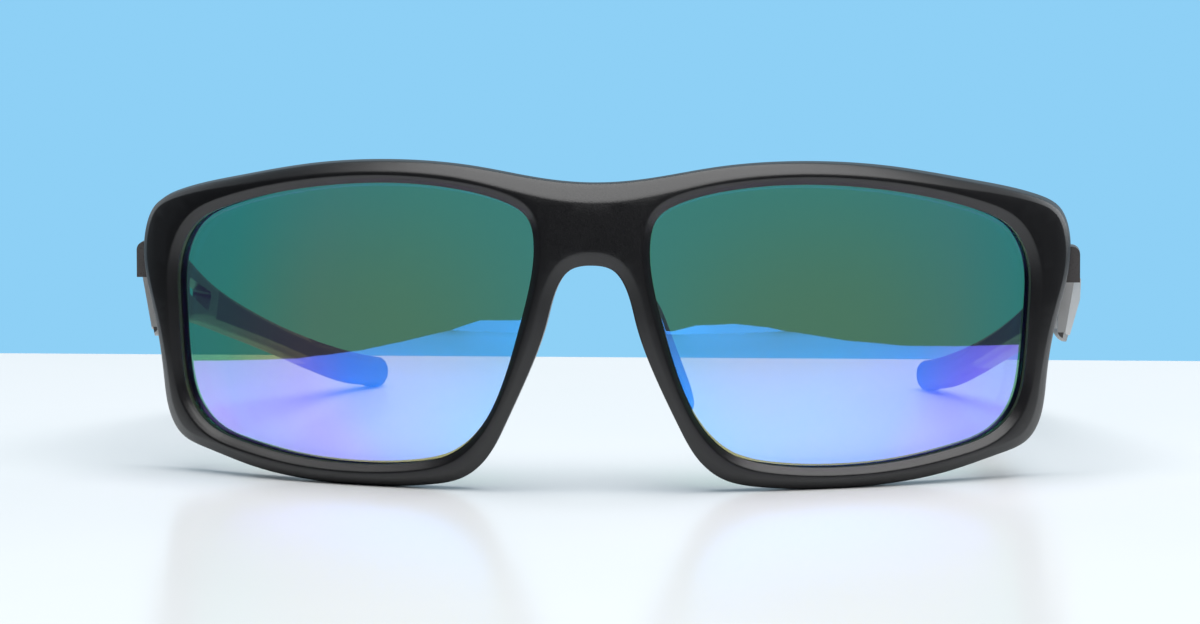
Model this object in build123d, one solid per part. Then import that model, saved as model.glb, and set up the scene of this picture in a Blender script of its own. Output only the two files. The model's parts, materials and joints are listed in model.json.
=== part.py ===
from build123d import *
from math import cos, radians, sin, sqrt
import os

# Wraparound sport sunglasses, standing on the rims and on the temple tips.
# +X is the wearer's left, +Y runs back along the temples, +Z is up.
# The model is drawn with Y = 0 at the front of the bridge, and moved at the end so that the
# origin is the middle of the footprint.

# ---- driving dimensions, mm ----
FRONT_RADIUS = 103.0      # plan radius of the wrapped front
UPRIGHT_RADIUS = 90.0     # side-view radius of the front
EQUATOR_Z = 19.5          # height at which the front stands furthest forward
FRAME_THICKNESS = 4.6     # front skin to back skin
LENS_INSET = 2.3          # front lip: how far the lens lies below the front skin
LENS_THICKNESS = 1.6
LENS_WRAP = 20.0          # degrees that each lens is turned outward
GROOVE_DEPTH = 0.7        # how far the lens reaches into the rim
SEAT_CLEARANCE = 0.05
RIM_BEVEL = 1.35          # bevel round each lens opening
EDGE_BEVEL = 1.45         # bevel round the outside of the front

SPLIT_Y = 33.0            # back face of the end pieces
SPLIT_GAP = 0.5           # gap between an end piece and its temple
HINGE_X = 67.2
HINGE_Y = 35.7
HINGE_LOW = 23.0
KNUCKLE_HEIGHT = 2.7
KNUCKLE_GAP = 0.15
KNUCKLE_RADIUS = 1.4
SCREW_RADIUS = 0.7
SCREW_HEAD_RADIUS = 1.15
SCREW_HEAD_HEIGHT = 0.8
SCREW_SLOT_WIDTH = 0.35
SCREW_SLOT_DEPTH = 0.35
SCREW_END = 0.3           # how far the screw stands out below the lowest knuckle
FIXED_FIT = 0.02          # screw in the front knuckles
RUNNING_FIT = 0.05        # screw in the temple knuckle
FRONT_LEAF_X = (65.0, 69.0)
FRONT_LEAF_Z = (22.0, 32.4)
LEAF_THICKNESS = 1.4      # front leaf, let into the end piece
SIDE_LEAF_THICKNESS = 0.8  # temple leaf, let into the inside of the arm
SIDE_LEAF_Z = (25.2, 31.4)
SIDE_LEAF_LENGTH = 8.0
END_PIECE_X = (64.6, 72.0)
END_PIECE_Z = (20.5, 37.0)
END_PIECE_START_Y = 20.0
END_PIECE_COVER = 1.0     # how far below the front skin it starts

ARM_START_Y = SPLIT_Y + SPLIT_GAP
ARM_END_Y = 138.6
ARM_ROUNDING = 1.3        # fillet along the arm's edges
GRIP_DEPTH = 1.2          # thickness of the inner rubber panel
GRIP_MARGIN = 0.9         # hard edge left above and below the panel
GRIP_SEAM_Y = 72.0        # front end of the panel
GRIP_SEAM_LEAN = -22.0    # degrees that the front end leans
SLEEVE_Y = 112.0          # the rubber is the whole section behind this
TONGUE_END_Y = 128.0      # the hard core ends here, inside the tip
TONGUE_MARGIN = 1.3
TRIM_DEPTH = 0.7          # how far the inlay is let into the arm
TRIM_PROUD = 0.25
TRIM_MARGIN = 1.0
HALF_DEPTH = 69.38        # half of the overall depth: the footprint's middle

# ---- outlines ----
# Front view, right half of a symmetric outline, from the top of the bridge clockwise.
FRONT_OUTLINE = [
    (0, 46.2), (7, 46.65), (18, 48.35), (31, 49.0), (44, 47.85), (56, 45.3), (65.5, 42.55),
    (69.3, 40.2), (70.7, 37), (70.9, 32), (69.1, 24.1), (67.5, 14.5), (66.5, 8.5), (64.8, 5.7),
    (60.5, 3.8), (53, 1.7), (43, 0.25), (33, 0.03), (24.5, 0.6), (19.5, 1.9), (16.2, 4.6),
    (13.1, 10), (9.4, 18.1), (6.7, 25.6), (5.0, 31.2), (3.2, 33.5), (0, 34.2),
]
# Front view of one lens opening at the front skin of the frame.
LENS_OUTLINE = [
    (9.2, 37), (10.3, 41.2), (14, 43.5), (20, 45), (30, 45.8), (40, 45.2), (50, 43.4),
    (58, 40.9), (63, 37.8), (65.3, 33), (65.5, 26), (64.9, 17.5), (63.4, 11), (60.5, 7.6),
    (55, 5.4), (46, 3.7), (37, 3.2), (28, 3.8), (21.5, 5.7), (17, 10), (13.7, 16.8),
    (11.2, 25.2), (9.7, 31.5),
]
# Side view (Y, Z) of an arm: the top edge from the hinge to the tip, then the bottom edge back.
ARM_TOP = [
    (41, 34), (52, 31.6), (64, 26.9), (76, 22.4), (90, 17.8), (105, 13.1), (120, 8.8),
    (129, 6.5), (136.1, 5.0),
]
ARM_BOTTOM = [
    (134.3, 0.5), (129, 1.4), (120, 4), (108, 7.8), (96, 11.3), (83, 14.6), (71, 17.4),
    (60, 19), (50, 18.9),
]
ARM_TIP_Y, ARM_TIP_Z = 138.3, 2.6
BLOCK_TOP, BLOCK_BOTTOM = 34.4, 20.2
TRIM_EDGE = [(33, 28.9), (53, 28.2), (60, 25.3), (73.2, 21.2), (88, 13), (60, 10), (33, 10)]
WINDOW = [(55.5, 26.6), (70.6, 22.7), (68.2, 20), (55.5, 23.9)]
WINDOW_CORNER = 0.7
WINDOW_X = 66.5           # where the window has the outline above
WINDOW_SLANT = 1.2        # how far it runs back, per mm that it runs outward
# Plan view (X at three stations along Y) of the arm's inner and outer faces.
ARM_STATIONS = (ARM_START_Y, 86.0, ARM_END_Y)
ARM_INNER_X = (69.1, 61.7, 43.2)
ARM_OUTER_X = (72.5, 66.0, 47.2)
# Front view (X, Z) of the slanted facet that narrows the arm's block towards its lower edge.
FACET = [(72.5, 26.5), (69.7, 17), (80, 17), (80, 26.5)]
# Plan view (X, Y) of the relief at the front of the inlay, at the height RELIEF_Z.
RELIEF = [(69.25, 33), (72.05, 53), (80, 53), (80, 33)]
RELIEF_Z = 17.0
RELIEF_LEAN = 0.17        # how far its face leans outward, per mm of height
# Nose pad: the middle of its lower and upper ends in the front view, and its size.
PAD_LOW, PAD_HIGH = (13.2, 12.6), (7.5, 27.8)
PAD_FRONT_Y, PAD_BACK_Y = 2.5, 13.0
PAD_LENGTH = 18.5
PAD_CORNER = 4.6
PAD_THICKNESS = 2.7
PAD_ROUNDING = 1.1
PAD_LEAN = 0.05           # how much the pads spread towards the back, per mm of depth
PAD_LENS_GAP = 0.2
LUG_LENGTH = 12.0
LUG_CORNER = 2.5
LUG_THICKNESS = 1.2
LUG_COVER = 3.0           # rubber behind the lug

REACH = 80.0              # longer than the object is in any direction from the middle
OVERCUT = 1.0             # how far a cutting shape runs past what it cuts
SKIN_STEP = 5.0           # height between the points that a skin's side view runs through
SKIN_SWEEP = 108.0        # degrees of plan that the skins cover
FRONT_EDGES = 12          # edges that the outline of the front is made of
LENS_EDGES = 6
LENS_SAMPLES = 36         # points along an outline that is drawn in or grown
ARM_SAMPLES = 16


# ---- front: skins, outlines ----
def skin_depth(x, z, inset=0.0):
    """Y of the curved skin that lies `inset` below the front skin, at (x, z)."""
    profile_y = UPRIGHT_RADIUS - sqrt((UPRIGHT_RADIUS - inset) ** 2 - (z - EQUATOR_Z) ** 2)
    return FRONT_RADIUS - sqrt((FRONT_RADIUS - profile_y) ** 2 - x ** 2)


def curved_shell(front_inset, back_inset):
    """The space between two skins of the wrapped front, wider and taller than the frame."""
    levels = [EQUATOR_Z + SKIN_STEP * step for step in range(-5, 8)]
    front, back = [
        Spline([(skin_depth(0, z, inset), z) for z in levels])
        for inset in (front_inset, back_inset)
    ]
    edges = [front, Line(front @ 1, back @ 1), back, Line(back @ 0, front @ 0)]
    profile = Plane.YZ * make_face(edges)
    axis = Axis((0, FRONT_RADIUS, 0), (0, 0, 1))
    return revolve(profile, axis=axis, revolution_arc=SKIN_SWEEP).rotate(axis, -SKIN_SWEEP / 2)


def beside(curve, amount, samples):
    """Points beside a flat curve, `amount` to the left of its direction."""
    points = []
    for step in range(samples + 1):
        place = step / samples
        along = curve % place
        points.append(curve @ place + Vector(-along.Y, along.X) * amount)
    return points


def smooth_loop(points, pieces):
    """One smooth closed curve through the points, as a chain of edges."""
    loop = Spline(points, periodic=True)
    return [loop.trim(i / pieces, (i + 1) / pieces) for i in range(pieces)]


def mirrored_outline(half):
    """The full outline of a shape whose right half starts and ends on X = 0."""
    return half + [(-x, z) for x, z in reversed(half[1:-1])]


def front_prism():
    """The outline of the front, run through the whole depth."""
    face = Plane.XZ * make_face(smooth_loop(mirrored_outline(FRONT_OUTLINE), FRONT_EDGES))
    return extrude(face, amount=REACH, both=True)


def lens_prism(growth=0.0):
    """The left lens opening, run along the lens's own axis."""
    wrap = radians(LENS_WRAP)
    outline = [(x * cos(wrap) + skin_depth(x, z) * sin(wrap), z) for x, z in LENS_OUTLINE]
    lens_plane = Plane((0, 0, 0), x_dir=(cos(wrap), sin(wrap), 0), z_dir=(sin(wrap), -cos(wrap), 0))
    if growth:
        outline = beside(Spline(outline, periodic=True), growth, LENS_SAMPLES)[:-1]
    face = make_face(smooth_loop(outline, LENS_EDGES))
    return extrude(lens_plane * face, amount=REACH, both=True)


def both_sides(shape):
    return shape + mirror(shape, about=Plane.YZ)


# ---- front: lenses, pads, hinge leaves ----
def make_lens():
    shell = curved_shell(LENS_INSET, LENS_INSET + LENS_THICKNESS)
    return shell & lens_prism(GROOVE_DEPTH)


def pad_plane():
    """Plane of a pad: local X runs back, local Y runs up along the rim."""
    up = Vector(PAD_HIGH[0] - PAD_LOW[0], 0, PAD_HIGH[1] - PAD_LOW[1]).normalized()
    back = Vector(PAD_LEAN, 1, 0).normalized()
    middle_x = (PAD_LOW[0] + PAD_HIGH[0]) / 2
    middle_z = (PAD_LOW[1] + PAD_HIGH[1]) / 2
    normal = back.cross(up).normalized()
    return Plane((middle_x, 0, middle_z), x_dir=back, z_dir=normal)


def pad_slab(front, back, length, corner, thickness, edge):
    outline = Pos((front + back) / 2, 0) * RectangleRounded(back - front, length, corner)
    slab = extrude(outline, amount=thickness / 2, both=True)
    if edge:
        slab = fillet(slab.edges(), edge)
    return pad_plane() * slab


def make_pad(frame):
    boot = pad_slab(PAD_FRONT_Y, PAD_BACK_Y, PAD_LENGTH, PAD_CORNER, PAD_THICKNESS, PAD_ROUNDING)
    lens_back = LENS_INSET + LENS_THICKNESS
    return boot - frame - curved_shell(-FRAME_THICKNESS, lens_back + PAD_LENS_GAP)


def make_pad_lug():
    return pad_slab(PAD_FRONT_Y, PAD_BACK_Y - LUG_COVER, LUG_LENGTH, LUG_CORNER, LUG_THICKNESS, 0)


def knuckle_height(level):
    """Bottom of a knuckle: level 0 and 2 are the front's, level 1 is the temple's."""
    return HINGE_LOW + level * (KNUCKLE_HEIGHT + KNUCKLE_GAP)


def barrel(radius, bottom, height):
    return Pos(HINGE_X, HINGE_Y, bottom) * extrude(Circle(radius), amount=height)


def block(x0, x1, y0, y1, z0, z1):
    return Pos((x0 + x1) / 2, (y0 + y1) / 2, (z0 + z1) / 2) * Box(x1 - x0, y1 - y0, z1 - z0)


HINGE_TOP = knuckle_height(2) + KNUCKLE_HEIGHT


def screw_hole(fit):
    height = HINGE_TOP - HINGE_LOW + 2 * OVERCUT
    return barrel(SCREW_RADIUS + fit, HINGE_LOW - OVERCUT, height)


def front_leaf_plate():
    return block(*FRONT_LEAF_X, SPLIT_Y - LEAF_THICKNESS, SPLIT_Y, *FRONT_LEAF_Z)


def make_front_hinge():
    leaf = front_leaf_plate()
    web_x = (HINGE_X - KNUCKLE_RADIUS, HINGE_X + KNUCKLE_RADIUS)
    web_start = SPLIT_Y - LEAF_THICKNESS / 2
    for level in (0, 2):
        bottom = knuckle_height(level)
        leaf += block(*web_x, web_start, HINGE_Y, bottom, bottom + KNUCKLE_HEIGHT)
        leaf += barrel(KNUCKLE_RADIUS, bottom, KNUCKLE_HEIGHT)
    return leaf - screw_hole(FIXED_FIT)


def make_hinge_screw():
    head_bottom = HINGE_TOP + FIXED_FIT
    head_top = head_bottom + SCREW_HEAD_HEIGHT
    screw = barrel(SCREW_RADIUS, HINGE_LOW - SCREW_END, HINGE_TOP - HINGE_LOW + 2 * SCREW_END)
    head = barrel(SCREW_HEAD_RADIUS, head_bottom, SCREW_HEAD_HEIGHT)
    head = fillet(head.edges().group_by(Axis.Z)[-1], SCREW_HEAD_HEIGHT / 3)
    slot_length = 2 * (SCREW_HEAD_RADIUS + OVERCUT)
    slot = Box(slot_length, SCREW_SLOT_WIDTH, 2 * SCREW_SLOT_DEPTH)
    slot = Pos(HINGE_X, HINGE_Y, head_top) * slot
    return screw + head - slot


def make_end_piece():
    """The left end of the front: a block behind the rim, which carries the hinge leaf."""
    rough = block(*END_PIECE_X, END_PIECE_START_Y, SPLIT_Y, *END_PIECE_Z)
    behind_skin = curved_shell(END_PIECE_COVER, 2 * END_PIECE_START_Y)
    return rough & behind_skin & front_prism()


def make_front_frame():
    frame = curved_shell(0, FRAME_THICKNESS) & front_prism()
    frame -= both_sides(lens_prism())
    front_skin = frame.faces().sort_by(Axis.Y)[0]
    frame = chamfer(front_skin.outer_wire().edges(), EDGE_BEVEL)
    front_skin = frame.faces().sort_by(Axis.Y)[0]
    frame = chamfer([edge for wire in front_skin.inner_wires() for edge in wire.edges()], RIM_BEVEL)
    frame += both_sides(make_end_piece() + make_pad_lug())
    groove = curved_shell(LENS_INSET - SEAT_CLEARANCE, LENS_INSET + LENS_THICKNESS + SEAT_CLEARANCE)
    frame -= both_sides(groove & lens_prism(GROOVE_DEPTH + SEAT_CLEARANCE))
    frame -= both_sides(front_leaf_plate())
    return frame - block(-REACH, REACH, SPLIT_Y, REACH, -REACH, REACH)


# ---- temples ----
def arm_band(inner_face, inner_offset, outer_face, outer_offset):
    """The space between two curved upright faces in plan, each moved outward by its offset."""
    inner = ThreePointArc(*[(x + inner_offset, y) for x, y in zip(inner_face, ARM_STATIONS)])
    outer = ThreePointArc(*[(x + outer_offset, y) for x, y in zip(outer_face, ARM_STATIONS)])
    edges = [inner, Line(inner @ 1, outer @ 1), outer, Line(outer @ 0, inner @ 0)]
    return extrude(make_face(edges), amount=REACH, both=True)


def across(face):
    """A side-view (Y, Z) face, run across the whole width of one arm."""
    return extrude(Plane.YZ * face, amount=REACH)


def below_trim_edge():
    """The space below the top edge of the inlay."""
    return across(make_face(Polyline(*TRIM_EDGE, close=True)))


def facets(offset):
    """What the lower facet and the front relief take off the arm, moved outward by an offset."""
    lower = Plane.XZ * Pos(offset, 0) * make_face(Polyline(*FACET, close=True))
    front = Pos(offset, 0, RELIEF_Z) * make_face(Polyline(*RELIEF, close=True))
    relief = extrude(front, amount=BLOCK_TOP - RELIEF_Z, dir=(RELIEF_LEAN, 0, 1))
    return extrude(lower, amount=-ARM_END_Y) + (relief & below_trim_edge())


def arm_body(offset):
    """The arm in plan, with its facets, its outer face moved outward by an offset."""
    return arm_band(ARM_INNER_X, 0, ARM_OUTER_X, offset) - facets(offset)


def arm_side(margin=0.0):
    """Side view of an arm, drawn in by a margin along its top, its tip and its bottom."""
    top = Spline([(ARM_START_Y, BLOCK_TOP)] + ARM_TOP)
    bottom = Spline(ARM_BOTTOM + [(ARM_START_Y, BLOCK_BOTTOM)])
    if margin:
        top = Spline(beside(top, -margin, ARM_SAMPLES))
        bottom = Spline(beside(bottom, -margin, ARM_SAMPLES))
    tip = ThreePointArc(top @ 1, (ARM_TIP_Y - margin, ARM_TIP_Z), bottom @ 0)
    return make_face([top, tip, bottom, Line(bottom @ 1, top @ 0)])


def make_arm_blank():
    """The whole arm with its rubber and its inlay still part of it."""
    blank = across(arm_side()) & arm_band(ARM_INNER_X, 0, ARM_OUTER_X, 0)
    split_face = blank.faces().sort_by(Axis.Y)[0]
    split_edges = split_face.edges()
    long_edges = [edge for edge in blank.edges() if edge not in split_edges]
    return fillet(long_edges, ARM_ROUNDING) - facets(0)


def make_window():
    """The slot through an arm, whose ends slant back towards the outside."""
    face = Plane.YZ * make_face(FilletPolyline(*WINDOW, radius=WINDOW_CORNER, close=True).edges())
    slot = extrude(face, amount=2 * REACH, dir=(1, WINDOW_SLANT, 0))
    return Pos(0, -WINDOW_SLANT * WINDOW_X, 0) * slot


def grip_space():
    """What the rubber takes of the arm: a panel inside, and the whole section at the tip."""
    seam = Pos(0, GRIP_SEAM_Y, BLOCK_BOTTOM) * Rot(GRIP_SEAM_LEAN, 0, 0)
    behind_seam = seam * Pos(0, REACH, 0) * Box(2 * REACH, 2 * REACH, 2 * REACH)
    inner_skin = arm_band(ARM_INNER_X, -OVERCUT, ARM_INNER_X, GRIP_DEPTH)
    panel = across(arm_side(GRIP_MARGIN)) & inner_skin & behind_seam
    sleeve = block(0, REACH, SLEEVE_Y, ARM_END_Y + OVERCUT, -OVERCUT, BLOCK_TOP)
    core = across(arm_side(TONGUE_MARGIN))
    core &= block(0, REACH, GRIP_SEAM_Y, TONGUE_END_Y, -OVERCUT, BLOCK_TOP)
    tongue = core & arm_band(ARM_INNER_X, GRIP_DEPTH, ARM_OUTER_X, -GRIP_DEPTH)
    return panel + (sleeve - tongue)


def trim_space(depth, proud):
    """The inlay: a skin on the outside of the arm that turns in across its front end."""
    cap = block(0, REACH, ARM_START_Y, ARM_START_Y + depth, 0, BLOCK_TOP)
    skin = arm_body(proud) - (arm_body(-depth) - cap)
    lowest, highest = BLOCK_BOTTOM + TRIM_MARGIN, BLOCK_TOP - TRIM_MARGIN
    end = block(0, REACH, ARM_START_Y - OVERCUT, ARM_START_Y + TRIM_MARGIN, lowest, highest)
    return skin & below_trim_edge() & (across(arm_side(TRIM_MARGIN)) + end)


def side_leaf_plate(opening=0.0):
    """The temple's leaf, or its pocket, which is open to the inside of the arm."""
    inner_x = HINGE_X + KNUCKLE_RADIUS + SPLIT_GAP
    start_y = ARM_START_Y + SIDE_LEAF_THICKNESS
    end_y = start_y + SIDE_LEAF_LENGTH
    return block(inner_x - opening, inner_x + SIDE_LEAF_THICKNESS, start_y, end_y, *SIDE_LEAF_Z)


def make_temple():
    arm = make_arm_blank() - make_window() - grip_space()
    return arm - trim_space(TRIM_DEPTH, OVERCUT) - side_leaf_plate(OVERCUT)


def make_temple_grip():
    return make_arm_blank() & grip_space()


def make_temple_trim():
    return trim_space(TRIM_DEPTH, TRIM_PROUD) - make_window()


def make_temple_hinge():
    bottom = knuckle_height(1)
    top = bottom + KNUCKLE_HEIGHT
    web_end = HINGE_X + KNUCKLE_RADIUS + SPLIT_GAP
    leaf = side_leaf_plate() + barrel(KNUCKLE_RADIUS, bottom, KNUCKLE_HEIGHT)
    web_y = (HINGE_Y - KNUCKLE_RADIUS / 2, HINGE_Y + KNUCKLE_RADIUS)
    leaf += block(HINGE_X, web_end, *web_y, bottom, top)
    return leaf - screw_hole(RUNNING_FIT)


# ---- assembly ----
def make_all():
    frame = make_front_frame()
    nodes = {"front_frame": frame}
    left = {
        "lens": make_lens(),
        "nose_pad": make_pad(frame),
        "front_hinge": make_front_hinge(),
        "hinge_screw": make_hinge_screw(),
        "temple": make_temple(),
        "temple_hinge": make_temple_hinge(),
        "temple_trim": make_temple_trim(),
        "temple_grip": make_temple_grip(),
    }
    for name, shape in left.items():
        nodes["left_" + name] = shape
        nodes["right_" + name] = mirror(shape, about=Plane.YZ)
    return nodes


def main():
    os.makedirs("parts", exist_ok=True)
    for name, shape in make_all().items():
        placed = Pos(0, -HALF_DEPTH, 0) * shape
        export_step(placed, "parts/" + name + ".step")
        box = placed.bounding_box()
        print(f"{name:20s} {placed.volume:9.1f} mm3  Z from {box.min.Z:6.2f} to {box.max.Z:6.2f}")


if __name__ == "__main__":
    main()
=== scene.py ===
import json
from math import cos, radians, sin

import bmesh
import bpy
import numpy as np
from mathutils import Matrix, Vector
from mathutils.geometry import delaunay_2d_cdt


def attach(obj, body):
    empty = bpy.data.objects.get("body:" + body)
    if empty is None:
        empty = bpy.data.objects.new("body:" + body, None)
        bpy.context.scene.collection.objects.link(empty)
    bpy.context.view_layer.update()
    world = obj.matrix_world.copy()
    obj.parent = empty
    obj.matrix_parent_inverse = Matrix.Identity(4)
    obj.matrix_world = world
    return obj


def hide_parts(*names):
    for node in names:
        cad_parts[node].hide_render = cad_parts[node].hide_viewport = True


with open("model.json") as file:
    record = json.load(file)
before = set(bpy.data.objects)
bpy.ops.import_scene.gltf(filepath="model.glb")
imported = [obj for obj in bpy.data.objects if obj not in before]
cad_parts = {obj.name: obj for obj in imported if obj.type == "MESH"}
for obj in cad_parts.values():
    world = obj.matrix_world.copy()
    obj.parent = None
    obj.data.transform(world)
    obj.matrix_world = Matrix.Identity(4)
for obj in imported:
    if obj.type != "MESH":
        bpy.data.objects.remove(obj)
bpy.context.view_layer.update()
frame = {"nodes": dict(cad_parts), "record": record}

NODES = frame["nodes"]

# ---- driving dimensions of the front, mm, with Y = 0 at the front of the bridge ----
BRIDGE_Y = -69.38         # where the front of the bridge lies in the shared frame
FRONT_RADIUS = 103.0      # plan radius of the wrapped front
UPRIGHT_RADIUS = 90.0     # side-view radius of the front
EQUATOR_Z = 19.5          # height at which the front stands furthest forward
FRAME_THICKNESS = 4.6
LENS_INSET = 2.3          # how far the lens lies below the front skin
LENS_THICKNESS = 1.6
GROOVE_DEPTH = 0.7        # how far the lens reaches into the rim
GROOVE_CLEARANCE = 0.04
LENS_WRAP = 20.0          # degrees that each lens is turned outward
WRAP_COS, WRAP_SIN = cos(radians(LENS_WRAP)), sin(radians(LENS_WRAP))
RIM_BEVEL_DEPTH = 1.2     # bevel round a lens opening, from the front skin down
EDGE_BEVEL_RATIO = 0.62   # depth of the outside bevel over its width
EDGE_BEVEL_LEAST = 0.45   # and the least depth that it has
CREASE_SOFTNESS = 0.09    # how rounded the crease is between a bevel and the front skin
PAD_FACE_Y = 32.93        # back face of the end pieces, just below their steel leaves
PAD_INNER_X = 64.6
PAD_LOW_Z, PAD_HIGH_Z = 20.5, 37.0
PAD_SLOPE = 0.6
PAD_OUTER_X = 71.0
PAD_FLAT_Z = (21.8, 36.2)

# Front view, half of a symmetric outline from the top of the bridge: X, Z, width of the bevel there.
FRONT_OUTLINE = [
    (0, 46.2, 2.5), (7, 46.65, 2.3), (18, 48.35, 1.7), (31, 49.0, 1.4), (44, 47.85, 1.3),
    (56, 45.3, 1.0), (65.5, 42.55, 0.7), (69.3, 40.2, 0.6), (70.7, 37, 0.6), (70.9, 32, 0.6),
    (69.1, 24.1, 0.7), (67.5, 14.5, 0.9), (66.5, 8.5, 1.2), (64.8, 5.7, 1.4), (60.5, 3.8, 1.5),
    (53, 1.7, 1.5), (43, 0.25, 1.5), (33, 0.03, 1.5), (24.5, 0.6, 1.6), (19.5, 1.9, 1.7),
    (16.2, 4.6, 1.7), (13.1, 10, 1.3), (9.4, 18.1, 1.5), (6.7, 25.6, 1.75), (5.0, 31.2, 1.8),
    (3.2, 33.5, 1.9), (0, 34.2, 2.0),
]
# Front view of one lens opening: X, Z, width of the bevel there.
LENS_OUTLINE = [
    (9.2, 37, 1.5), (10.3, 41.2, 1.5), (14, 43.5, 1.4), (20, 45, 1.2), (30, 45.8, 1.15),
    (40, 45.2, 1.2), (50, 43.4, 1.3), (58, 40.9, 1.4), (63, 37.8, 1.5), (65.3, 33, 1.5),
    (65.5, 26, 1.5), (64.9, 17.5, 1.3), (63.4, 11, 1.2), (60.5, 7.6, 1.2), (55, 5.4, 1.15),
    (46, 3.7, 1.1), (37, 3.2, 1.1), (28, 3.8, 1.15), (21.5, 5.7, 1.2), (17, 10, 1.05),
    (13.7, 16.8, 1.05), (11.2, 25.2, 1.3), (9.7, 31.5, 1.4),
]
LENS_CORNERS = (1.6, 8.2, 12.8, 18.7)   # places of the four corners, counted in outline points

# ---- mesh densities ----
OUTLINE_SAMPLES = 720     # points round the front
LENS_SAMPLES = 320        # points round a lens opening
LENS_GRID = 48            # squares along one side of a lens
LENGTH_STEPS = 40         # steps per outline point when a curve's length is measured
SKIN_STEP = 1.6           # mm between the points inside the front's two skins
PAD_STEP = 0.7            # and between those on the end pieces
PAD_SLOPE_POINTS = 6
SKIN_REACH_X, SKIN_REACH_Z = 72, 50
EDGE_GAP = 0.35           # mm kept between those points and the rings around them
MERGE_DISTANCE = 1e-7
AXIS_ROUNDS = 6           # rounds of the search for where a lens line meets a skin
TINY = 1e-9


# ---------------------------------------------------------------- curves and skins
def skin_depth(x, z, inset):
    """Y of the curved skin that lies `inset` below the front skin, at (x, z)."""
    profile_y = UPRIGHT_RADIUS - np.sqrt((UPRIGHT_RADIUS - inset) ** 2 - (z - EQUATOR_Z) ** 2)
    return FRONT_RADIUS - np.sqrt((FRONT_RADIUS - profile_y) ** 2 - x**2)


def smooth_loop(points, places):
    """A smooth closed curve through the points, at places counted in points along it."""
    points = np.array(points, float)
    count = len(points)
    spans = np.linalg.norm(np.roll(points, -1, axis=0)[:, :2] - points[:, :2], axis=1)
    system = np.zeros((count, count))
    wanted = np.zeros_like(points)
    for i in range(count):
        before, after = spans[i - 1], spans[i]
        last, following = points[i - 1], points[(i + 1) % count]
        system[i, i - 1] += after
        system[i, i] += 2 * (before + after)
        system[i, (i + 1) % count] += before
        wanted[i] = 3 * (after / before * (points[i] - last) + before / after * (following - points[i]))
    slopes = np.linalg.solve(system, wanted)
    places = np.asarray(places) % count
    first = np.floor(places).astype(int) % count
    second = (first + 1) % count
    t = (places - first)[:, None]
    span = spans[first][:, None]
    return (
        (2 * t**3 - 3 * t**2 + 1) * points[first]
        + (t**3 - 2 * t**2 + t) * span * slopes[first]
        + (3 * t**2 - 2 * t**3) * points[second]
        + (t**3 - t**2) * span * slopes[second]
    )


def even_places(points, samples):
    """Places along a closed curve, evenly spaced by length."""
    count = len(points)
    fine = np.linspace(0, count, LENGTH_STEPS * count + 1)
    line = smooth_loop(points, fine)[:, :2]
    length = np.concatenate([[0], np.cumsum(np.linalg.norm(np.diff(line, axis=0), axis=1))])
    return np.interp(np.linspace(0, length[-1], samples, endpoint=False), length, fine)


def beside(loop, amount):
    """A loop's points moved by `amount` to the left of its direction."""
    along = np.roll(loop, -1, axis=0) - np.roll(loop, 1, axis=0)
    across = np.stack([-along[:, 1], along[:, 0]], axis=1)
    across /= np.linalg.norm(across, axis=1)[:, None]
    return loop + across * np.reshape(amount, (-1, 1))


def along_lens_axis(u, z, inset):
    """X and Y where lines along the left lens's axis, at (u, z) across it, meet a skin."""
    x = u * WRAP_COS
    nudge = 0.01
    for _ in range(AXIS_ROUNDS):
        miss = x * WRAP_COS + skin_depth(x, z, inset) * WRAP_SIN - u
        rise = (skin_depth(x + nudge, z, inset) - skin_depth(x - nudge, z, inset)) / (2 * nudge)
        x = x - miss / (WRAP_COS + rise * WRAP_SIN)
    return x, skin_depth(x, z, inset)


def lens_loop(places):
    """The lens opening across the lens's own axis: U, Z, width of the bevel."""
    outline = np.array(LENS_OUTLINE, float)
    u = outline[:, 0] * WRAP_COS + skin_depth(outline[:, 0], outline[:, 1], 0) * WRAP_SIN
    return smooth_loop(np.column_stack([u, outline[:, 1:]]), places)


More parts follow.
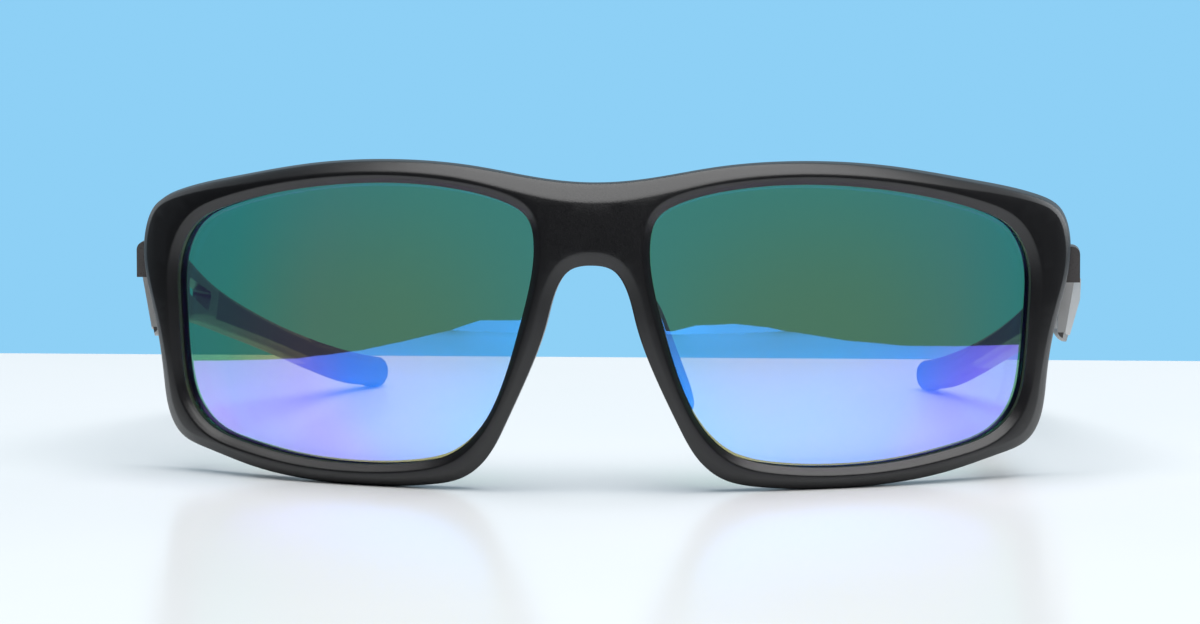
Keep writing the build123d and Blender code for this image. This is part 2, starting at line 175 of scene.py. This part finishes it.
# ---------------------------------------------------------------- meshes
class Surface:
    """Collects points, in mm from the front of the bridge, and faces, and makes a mesh piece."""

    def __init__(self):
        self.points = []
        self.faces = []

    def ring(self, x, y, z):
        start = len(self.points)
        self.points += np.column_stack([x, y, z]).tolist()
        return np.arange(start, start + len(x))

    def join(self, rings):
        for one, other in zip(rings, rings[1:]):
            self.faces += np.column_stack([one, np.roll(one, -1), np.roll(other, -1), other]).tolist()

    def fill(self, outer, holes, depth, extra):
        """Fills between closed rings in the front view, through extra points at a given depth."""
        where = np.array(self.points)[:, [0, 2]]
        rings = [outer, *holes]
        border = where[np.concatenate(rings)]
        gaps = np.linalg.norm(extra[:, None] - border[None], axis=2).min(axis=1)
        extra = extra[gaps > EDGE_GAP]
        extra = extra[between(extra, where[outer], [where[hole] for hole in holes])]
        inner = self.ring(extra[:, 0], depth(extra[:, 0], extra[:, 1]), extra[:, 1])
        ids = np.concatenate([*rings, inner])
        edges = []
        start = 0
        for ring in rings:
            edges += [(start + i, start + (i + 1) % len(ring)) for i in range(len(ring))]
            start += len(ring)
        flat = [Vector(point) for point in np.array(self.points)[ids][:, [0, 2]]]
        found = delaunay_2d_cdt(flat, edges, [], 1, MERGE_DISTANCE)
        triangles = np.array([[ids[found[3][corner][0]] for corner in face] for face in found[2]])
        middles = np.array(self.points)[triangles][:, :, [0, 2]].mean(axis=1)
        kept = between(middles, where[outer], [where[hole] for hole in holes])
        self.faces += triangles[kept].tolist()

    def piece(self, name):
        mesh = bpy.data.meshes.new(name)
        points = (np.array(self.points) + (0, BRIDGE_Y, 0)) / 1000
        mesh.from_pydata(points.tolist(), [], self.faces)
        shape = bmesh.new()
        shape.from_mesh(mesh)
        bmesh.ops.recalc_face_normals(shape, faces=shape.faces)
        for face in shape.faces:
            face.smooth = True
        shape.to_mesh(mesh)
        shape.free()
        piece = bpy.data.objects.new(name, mesh)
        bpy.context.scene.collection.objects.link(piece)
        return piece


def inside(points, loop):
    """Whether each point lies inside a closed loop."""
    x, z = points[:, None, 0], points[:, None, 1]
    x1, z1 = loop[None, :, 0], loop[None, :, 1]
    x2, z2 = np.roll(x1, -1, axis=1), np.roll(z1, -1, axis=1)
    spans = (z1 > z) != (z2 > z)
    with np.errstate(divide="ignore", invalid="ignore"):
        crossing = spans & (x < x1 + (z - z1) / (z2 - z1) * (x2 - x1))
    return crossing.sum(axis=1) % 2 == 1


def between(points, outer, holes):
    kept = inside(points, outer)
    for hole in holes:
        kept &= ~inside(points, hole)
    return kept


def soft_bevel(share):
    """Depth of a bevel, as a share of its full depth, at a share of its width from the edge."""
    rest = 1 - np.asarray(share)
    return (rest + np.sqrt(rest**2 + CREASE_SOFTNESS**2)) / 2


# How far in from an edge the rows of a bevel lie, as shares of its width.
BEVEL_ROWS = (1.12, 1.02, 0.92, 0.8, 0.55, 0.28)
# The rounded edge at the foot of a bevel and at the back: distance in, distance down or up, mm.
FOOT_ROWS = ((0.1, 0.0), (0.02, 0.1), (0.0, 0.26))
BACK_ROWS = ((0.0, 0.5), (0.06, 0.22), (0.2, 0.06), (0.42, 0.0))


def back_depth(x, z):
    """Y of the back of the front: its back skin, raised to a flat pad at each end piece."""
    skin = skin_depth(x, z, FRAME_THICKNESS)
    rises = (np.abs(x) - PAD_INNER_X, z - PAD_LOW_Z, PAD_HIGH_Z - z)
    share = 1.0
    for rise in rises:
        step = np.clip(rise / PAD_SLOPE, 0, 1)
        share = share * step**2 * (3 - 2 * step)
    return skin + share * np.maximum(PAD_FACE_Y - skin, 0)


def outer_rings(surface):
    half = FRONT_OUTLINE
    outline = half + [(-x, z, width) for x, z, width in reversed(half[1:-1])]
    loop = smooth_loop(outline, even_places(outline, OUTLINE_SAMPLES))
    line, width = loop[:, :2], loop[:, 2]
    depth = np.maximum(EDGE_BEVEL_RATIO * width, EDGE_BEVEL_LEAST)
    rings = []
    for share in BEVEL_ROWS:
        x, z = beside(line, -share * width).T
        level = 0 if share == BEVEL_ROWS[0] else depth * soft_bevel(share)
        rings.append(surface.ring(x, skin_depth(x, z, level), z))
    for distance, drop in FOOT_ROWS:
        x, z = beside(line, -distance).T
        rings.append(surface.ring(x, skin_depth(x, z, depth + drop), z))
    for distance, lift in BACK_ROWS:
        x, z = beside(line, -distance).T
        rings.append(surface.ring(x, back_depth(x, z) - lift, z))
    surface.join(rings)
    return rings


def opening_rings(surface, side):
    loop = lens_loop(even_places(LENS_OUTLINE, LENS_SAMPLES))
    line, width = loop[:, :2], loop[:, 2]
    groove_front = LENS_INSET - GROOVE_CLEARANCE
    groove_back = LENS_INSET + LENS_THICKNESS + GROOVE_CLEARANCE
    groove = GROOVE_DEPTH + GROOVE_CLEARANCE
    rows = [(share * width, RIM_BEVEL_DEPTH * soft_bevel(share)) for share in BEVEL_ROWS]
    rows[0] = (rows[0][0], 0.0)
    rows += [(distance, RIM_BEVEL_DEPTH + drop * 0.5) for distance, drop in FOOT_ROWS]
    rows += [(0.0, groove_front), (groove, groove_front), (groove, groove_back), (0.0, groove_back)]
    rows += [(distance, FRAME_THICKNESS - lift) for distance, lift in BACK_ROWS]
    rings = []
    for distance, level in rows:
        u, z = beside(line, distance).T
        x, y = along_lens_axis(u, z, level)
        rings.append(surface.ring(side * x, y, z))
    surface.join(rings)
    return rings


def grid_points(across, up):
    x, z = np.meshgrid(across, up)
    return np.column_stack([x.ravel(), z.ravel()])


def make_front():
    """The whole front: rims, bridge and end pieces in one moulding."""
    surface = Surface()
    outer = outer_rings(surface)
    openings = [opening_rings(surface, side) for side in (1, -1)]
    coarse = grid_points(
        np.arange(-SKIN_REACH_X, SKIN_REACH_X, SKIN_STEP), np.arange(0, SKIN_REACH_Z, SKIN_STEP)
    )
    front_holes = [rings[0] for rings in openings]
    surface.fill(outer[0], front_holes, lambda x, z: skin_depth(x, z, 0), coarse)
    rises = PAD_SLOPE * np.linspace(0, 1, PAD_SLOPE_POINTS)
    flat_x = np.arange(PAD_INNER_X + 2 * PAD_SLOPE, PAD_OUTER_X, PAD_STEP)
    across = np.concatenate([PAD_INNER_X + rises, flat_x])
    up = np.concatenate([PAD_LOW_Z + rises, np.arange(*PAD_FLAT_Z, PAD_STEP), PAD_HIGH_Z - rises])
    fine = grid_points(np.concatenate([across, -across]), up)
    margin = 0.5
    far = (np.abs(coarse[:, 0]) < PAD_INNER_X - margin) | (coarse[:, 1] < PAD_LOW_Z - margin)
    far |= coarse[:, 1] > PAD_HIGH_Z + margin
    back_holes = [rings[-1] for rings in openings]
    surface.fill(outer[-1], back_holes, back_depth, np.concatenate([coarse[far], fine]))
    return surface.piece("front_moulding")


def lens_grid(surface, inset, side):
    """A square grid laid over one face of a lens, its four corners at the lens's corners."""
    count = len(LENS_OUTLINE)
    ticks = np.linspace(-1, 1, LENS_GRID + 1)
    across, up = np.meshgrid(ticks, ticks)
    reach = np.maximum(np.abs(across), np.abs(up))
    safe = np.maximum(reach, TINY)
    a, b = across / safe, up / safe
    turn = np.select(
        [b >= 1 - TINY, a >= 1 - TINY, b <= -1 + TINY],
        [(a + 1) / 2, 1 + (1 - b) / 2, 2 + (1 - a) / 2],
        3 + (b + 1) / 2,
    )
    corners = [*LENS_CORNERS, LENS_CORNERS[0] + count]
    places = np.interp(turn.ravel(), range(5), corners)
    edge = lens_loop(places)[:, :2]
    nudge = 0.01
    normal_step = (lens_loop(places + nudge) - lens_loop(places - nudge))[:, :2]
    outward = np.column_stack([-normal_step[:, 1], normal_step[:, 0]])
    edge += GROOVE_DEPTH * outward / np.linalg.norm(outward, axis=1)[:, None]
    middle = lens_loop(even_places(LENS_OUTLINE, LENS_SAMPLES))[:, :2].mean(axis=0)
    u, z = (middle + reach.reshape(-1, 1) * (edge - middle)).T
    x, y = along_lens_axis(u, z, inset)
    ids = surface.ring(side * x, y, z).reshape(LENS_GRID + 1, LENS_GRID + 1)
    quads = np.stack([ids[:-1, :-1], ids[:-1, 1:], ids[1:, 1:], ids[1:, :-1]], axis=-1)
    surface.faces += quads.reshape(-1, 4).tolist()
    return np.concatenate([ids[0, :-1], ids[:-1, -1], ids[-1, :0:-1], ids[:0:-1, 0]])


def make_lens(name, side):
    surface = Surface()
    front_edge = lens_grid(surface, LENS_INSET, side)
    back_edge = lens_grid(surface, LENS_INSET + LENS_THICKNESS, side)
    surface.join([front_edge, back_edge])
    piece = surface.piece(name)
    for index, polygon in enumerate(piece.data.polygons):
        polygon.material_index = 0 if index < LENS_GRID**2 else 1
    return piece


# ---------------------------------------------------------------- materials
CLOUD_SCALE = 60          # clouds of tone in mouldings, per m
GRAIN_HEIGHT = 0.00004    # m
STREAK_HEIGHT = 0.00002
STEEL_STREAKS = (2500, 2500, 12000)
COAT_CLOUDS = 22          # slow drift of a lens's coat, per m
HAIRLINES = 2600          # fine scratches on a lens, per m
# Front view of a lens: the point round which its tint is painted olive by place, X, 0 and Z in m.
PLACED_TINT_MIDDLE = (0.035, 0, 0.016)
PLACED_TINT_FADE = (0.008, 0.037)    # over which distances from there it fades, m
PLACED_TINT_TEAL = (0.89, 1.04, 1.10)
PLACED_TINT_OLIVE = (1.11, 0.98, 0.83)


def new_material(name):
    material = bpy.data.materials.new(name)
    material.use_nodes = True
    material.node_tree.nodes.clear()
    return material


class Nodes:
    """Adds nodes to one material and links them in one call."""

    def __init__(self, material):
        self.tree = material.node_tree

    def add(self, kind, links=None, **settings):
        node = self.tree.nodes.new(kind)
        for key, value in settings.items():
            setattr(node, key, value)
        for key, value in (links or {}).items():
            socket = node.inputs[key]
            if isinstance(value, bpy.types.NodeSocket):
                self.tree.links.new(value, socket)
            else:
                socket.default_value = value
        return node

    def ramp(self, factor, stops):
        node = self.add("ShaderNodeValToRGB", {"Fac": factor})
        elements = node.color_ramp.elements
        while len(elements) < len(stops):
            elements.new(0.5)
        for element, (place, colour) in zip(elements, stops):
            element.position = place
            element.color = (*colour, 1)
        return node.outputs["Color"]

    def noise(self, vector, scale, **more):
        links = {"Vector": vector, "Scale": scale, **more}
        return self.add("ShaderNodeTexNoise", links).outputs["Fac"]

    def remap(self, value, low, high, new_low, new_high):
        links = {0: value, 1: low, 2: high, 3: new_low, 4: new_high}
        return self.add("ShaderNodeMapRange", links).outputs[0]

    def finish(self, shader):
        self.add("ShaderNodeOutputMaterial", {"Surface": shader})


def grey(value):
    return (value, value, value)


def moulded_material(name, dark, light, rough, speck_size, bump):
    """Moulded plastic or rubber: fine grain in its relief and gloss, and faint clouds of tone."""
    material = new_material(name)
    n = Nodes(material)
    place = n.add("ShaderNodeTexCoord").outputs["Object"]
    clouds = n.noise(place, CLOUD_SCALE, Detail=4, Roughness=0.6)
    grain = n.noise(place, 1 / speck_size, Detail=2, Roughness=0.6)
    colour = n.ramp(clouds, [(0.3, dark), (0.75, light)])
    roughness = n.remap(grain, 0.3, 0.7, rough - 0.05, rough + 0.07)
    relief = {"Strength": bump, "Distance": GRAIN_HEIGHT, "Height": grain}
    relief = n.add("ShaderNodeBump", relief)
    shader = n.add(
        "ShaderNodeBsdfPrincipled",
        {"Base Color": colour, "Roughness": roughness, "Normal": relief.outputs[0]},
    )
    n.finish(shader.outputs[0])
    return material


def steel_material(name, tone, rough):
    material = new_material(name)
    n = Nodes(material)
    place = n.add("ShaderNodeTexCoord").outputs["Object"]
    stretched = n.add("ShaderNodeMapping", {"Vector": place, "Scale": STEEL_STREAKS})
    streaks = n.noise(stretched.outputs[0], 1, Detail=3)
    colour = n.ramp(streaks, [(0.35, grey(tone * 0.8)), (0.7, grey(tone))])
    roughness = n.remap(streaks, 0.3, 0.7, rough - 0.06, rough + 0.1)
    relief = {"Strength": 0.2, "Distance": STREAK_HEIGHT, "Height": streaks}
    relief = n.add("ShaderNodeBump", relief)
    shader = n.add(
        "ShaderNodeBsdfPrincipled",
        {"Base Color": colour, "Metallic": 1.0, "Roughness": roughness, "Normal": relief.outputs[0]},
    )
    n.finish(shader.outputs[0])
    return material


def placed_tint(n, place):
    """Tint painted by place on a lens: olive round a fixed point in the front view and teal towards its
    edges.
    """
    parts = n.add("ShaderNodeSeparateXYZ", {0: place})
    apart = n.add("ShaderNodeMath", {0: parts.outputs[0]}, operation="ABSOLUTE")
    spot = n.add("ShaderNodeCombineXYZ", {0: apart.outputs[0], 2: parts.outputs[2]})
    links = {0: spot.outputs[0], 1: PLACED_TINT_MIDDLE}
    off_middle = n.add("ShaderNodeVectorMath", links, operation="DISTANCE")
    nearest, furthest = PLACED_TINT_FADE
    links = {0: off_middle.outputs["Value"], 1: nearest, 2: furthest, 3: 1.0, 4: 0.0}
    warm = n.add("ShaderNodeMapRange", links, interpolation_type="SMOOTHSTEP")
    links = {"Factor": warm.outputs[0], 6: (*PLACED_TINT_TEAL, 1), 7: (*PLACED_TINT_OLIVE, 1)}
    return n.add("ShaderNodeMix", links, data_type="RGBA").outputs[2]


def coated_material(name, reflected, passed, rough, drift):
    """One face of a lens: what it mirrors and what it lets through, from head on to a slant.

    The coat's thickness drifts a little from place to place, and its colours drift with it.
    """
    material = new_material(name)
    n = Nodes(material)
    place = n.add("ShaderNodeTexCoord").outputs["Object"]
    clouds = n.noise(place, COAT_CLOUDS, Detail=1, Roughness=0.3)
    shift = n.remap(clouds, 0.3, 0.7, -drift, drift)
    facing = n.add("ShaderNodeLayerWeight", {"Blend": 0.5}).outputs["Facing"]
    shifted = n.add("ShaderNodeMath", {0: facing, 1: shift}, operation="ADD", use_clamp=True)
    slant = shifted.outputs[0]
    # What passes through is also tinted by place: olive round a fixed point, teal towards the edges.
    through = {"Factor": 1.0, 6: n.ramp(slant, passed), 7: placed_tint(n, place)}
    passing = n.add("ShaderNodeMix", through, data_type="RGBA", blend_type="MULTIPLY")
    clear = n.add("ShaderNodeBsdfTransparent", {"Color": passing.outputs[2]})
    haze = n.remap(n.noise(place, HAIRLINES, Detail=3), 0.4, 0.8, rough, rough * 2)
    gloss = {"Color": n.ramp(slant, reflected), "Roughness": haze}
    mirror = n.add("ShaderNodeBsdfGlossy", gloss)
    both = n.add("ShaderNodeAddShader", {0: clear.outputs[0], 1: mirror.outputs[0]})
    n.finish(both.outputs[0])
    return material


def mirror_material():
    """Front of a lens: a mirror coating, blue head on and violet at a slant, over a tint."""
    reflected = [
        (0.0, (0.03, 0.27, 0.90)),
        (0.06, (0.01, 0.26, 0.92)),
        (0.12, (0.02, 0.20, 0.95)),
        (0.17, (0.13, 0.13, 0.88)),
        (0.27, (0.32, 0.12, 0.76)),
        (0.45, (0.50, 0.25, 0.68)),
        (1.0, (0.80, 0.70, 0.75)),
    ]
    passed = [
        (0.0, (0.63, 0.61, 0.43)),
        (0.08, (0.62, 0.62, 0.44)),
        (0.15, (0.58, 0.60, 0.46)),
        (0.25, (0.22, 0.60, 0.48)),
        (0.5, (0.12, 0.45, 0.38)),
        (1.0, grey(0.1)),
    ]
    return coated_material("lens_mirror_coating", reflected, passed, 0.015, 0.012)


def tint_material():
    """Back and edge of a lens: the tint, with the weak gloss of bare polycarbonate."""
    reflected = [(0.0, grey(0.04)), (0.5, grey(0.07)), (1.0, grey(0.8))]
    passed = [(0.0, (0.60, 0.61, 0.42)), (0.5, (0.55, 0.57, 0.38)), (1.0, grey(0.05))]
    return coated_material("lens_tint", reflected, passed, 0.02, 0.0)


# ---------------------------------------------------------------- assembly
def stand_for(piece, node, body, materials):
    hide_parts(node)
    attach(piece, body)
    for material in materials:
        piece.data.materials.append(material)


def main():
    frame_plastic = moulded_material(
        "matte_black_nylon", (0.003, 0.003, 0.004), (0.006, 0.006, 0.007), 0.34, 0.00022, 0.4
    )
    # The temples get a lighter copy of the front's black nylon: its raised base colour is painted
    # light, its lower roughness is not.
    arm_nylon_lit_copy = moulded_material(
        "nylon_lit_copy", (0.045, 0.04, 0.04), (0.065, 0.058, 0.057), 0.30, 0.00022, 0.3
    )
    rubber = moulded_material("soft_black_rubber", grey(0.016), grey(0.024), 0.62, 0.0003, 0.6)
    # Light grey for the trim slot.
    trim = moulded_material("light_grey_trim", grey(0.33), grey(0.42), 0.36, 0.00025, 0.3)
    by_slot = {
        "frame": frame_plastic,
        "rubber": rubber,
        "trim": trim,
        "hinge_steel": steel_material("stamped_steel", 0.55, 0.32),
        "screw_steel": steel_material("turned_steel", 0.68, 0.24),
        "lens": mirror_material(),
    }
    slots = {entry["node"]: entry["material_slot"] for entry in frame["record"]["subparts"]}
    for name, node in NODES.items():
        # Temples take the lighter copy with painted light; every other node takes its slot's material.
        for slot in node.material_slots:
            is_arm = name.endswith("_temple")
            slot.material = arm_nylon_lit_copy if is_arm else by_slot[slots[name]]
    stand_for(make_front(), "front_frame", "front", [frame_plastic])
    tint = tint_material()
    for name, side in (("left", 1), ("right", -1)):
        lens = make_lens(name + "_mirror_lens", side)
        stand_for(lens, name + "_lens", "front", [by_slot["lens"], tint])


# ---------------------------------------------------------------- studio
CAMERA_ANGLES = (4.2, 6.2, -0.10)            # azimuth, elevation and roll, degrees
CAMERA_PLACE = (0.0888, -1.1893, 0.1571)     # m, from the front of the bridge
CAMERA_LENS = 241.2                          # mm, on a sensor 36 mm wide
SENSOR_WIDTH = 36


def add_camera():
    azimuth, elevation, roll = [radians(angle) for angle in CAMERA_ANGLES]
    back = Vector((sin(azimuth) * cos(elevation), -cos(azimuth) * cos(elevation), sin(elevation)))
    right = Vector((cos(azimuth), sin(azimuth), 0))
    up = back.cross(right)
    rolled_right = cos(roll) * right + sin(roll) * up
    rolled_up = -sin(roll) * right + cos(roll) * up
    turn = Matrix((rolled_right, rolled_up, back)).transposed().to_4x4()
    data = bpy.data.cameras.new("camera")
    data.lens = CAMERA_LENS
    data.sensor_width = SENSOR_WIDTH
    camera = bpy.data.objects.new("camera", data)
    x, y, z = CAMERA_PLACE
    camera.matrix_world = Matrix.Translation((x, y + BRIDGE_Y / 1000, z)) @ turn
    bpy.context.scene.collection.objects.link(camera)
    bpy.context.scene.camera = camera


# The table, seen from above: X, Y of its corners from the far left one round, m.
FLOOR_CORNERS = [
    (-0.174, 0.1118), (-0.172, -0.13), (-0.2, -0.215), (-0.28, -0.375), (-1.35, -2.4),
    (1.4, -2.4), (0.87, -1.37), (0.34, -0.40), (0.265, -0.22), (0.262, 0.1118),
]
# Where the near edge of the table curves up: X and height, m.
FLOOR_LIP = [
    (-1.35, 0.0), (-1.09, 0.10), (-0.75, 0.11), (0.0, 0.05), (0.43, 0.022), (0.62, 0.07),
    (0.94, 0.08), (1.24, 0.04), (1.4, 0.0),
]


def add_floor():
    near_y = FLOOR_CORNERS[4][1]
    flat = [(x, y, 0) for x, y in FLOOR_CORNERS]
    lip = [(x, near_y - height / 2, height) for x, height in FLOOR_LIP[1:-1]]
    mesh = bpy.data.meshes.new("floor")
    first = len(flat)
    mesh.from_pydata(flat + lip, [], [range(first), (4, *range(first, first + len(lip)), 5)])
    floor = bpy.data.objects.new("floor", mesh)
    bpy.context.scene.collection.objects.link(floor)
    material = new_material("pale_floor")
    n = Nodes(material)
    place = n.add("ShaderNodeTexCoord").outputs["Object"]
    clouds = n.noise(place, 9, Detail=3)
    colour = n.ramp(clouds, [(0.3, (0.84, 0.86, 0.87)), (0.7, (0.87, 0.88, 0.89))])
    settings = {"Base Color": colour, "Roughness": 0.16, "Specular IOR Level": 0.25}
    n.finish(n.add("ShaderNodeBsdfPrincipled", settings).outputs[0])
    mesh.materials.append(material)


def add_light(name, place, target, size, power):
    data = bpy.data.lights.new(name, "AREA")
    data.shape = "RECTANGLE"
    data.size, data.size_y = size
    data.energy = power
    light = bpy.data.objects.new(name, data)
    light.location = place
    light.rotation_euler = (Vector(target) - Vector(place)).to_track_quat("-Z", "Y").to_euler()
    bpy.context.scene.collection.objects.link(light)


def add_world():
    """A pale blue backdrop behind the object, dimmer through the lenses, and a dark room in front."""
    world = bpy.data.worlds.new("studio")
    world.use_nodes = True
    bpy.context.scene.world = world
    world.node_tree.nodes.clear()
    n = Nodes(world)
    path = n.add("ShaderNodeLightPath")
    backdrop = n.add("ShaderNodeBackground", {"Color": (0.27, 0.63, 0.92, 1)})
    filtered = n.add("ShaderNodeBackground", {"Color": (0.147, 0.46, 0.62, 1)})
    glow = n.add("ShaderNodeBackground", {"Color": (0.30, 0.41, 0.49, 1)})
    room = n.add("ShaderNodeBackground", {"Color": (0.035, 0.038, 0.042, 1)})
    ray = n.add("ShaderNodeTexCoord").outputs["Generated"]
    ray_y = n.add("ShaderNodeSeparateXYZ", {0: ray}).outputs[1]
    links = {0: n.remap(ray_y, 0.2, 0.5, 0.0, 1.0), 1: room.outputs[0], 2: glow.outputs[0]}
    around = n.add("ShaderNodeMixShader", links)
    links = {0: path.outputs["Transparent Depth"], 1: backdrop.outputs[0], 2: filtered.outputs[0]}
    ahead = n.add("ShaderNodeMixShader", links)
    links = {0: path.outputs["Is Camera Ray"], 1: around.outputs[0], 2: ahead.outputs[0]}
    whole = n.add("ShaderNodeMixShader", links)
    n.add("ShaderNodeOutputWorld", {"Surface": whole.outputs[0]})


main()
add_camera()
add_floor()
add_light("overhead", (0.2, -0.4, 1.9), (0, -0.25, 0), (2.2, 2.6), 75)
add_light("left_side", (-1.0, 0.75, 0.5), (0, -0.02, 0.02), (0.8, 0.8), 1.5)
add_light("right_side", (1.0, 0.75, 0.5), (0, -0.02, 0.02), (0.8, 0.8), 4.5)
add_world()
bpy.context.scene.view_settings.view_transform = "Standard"
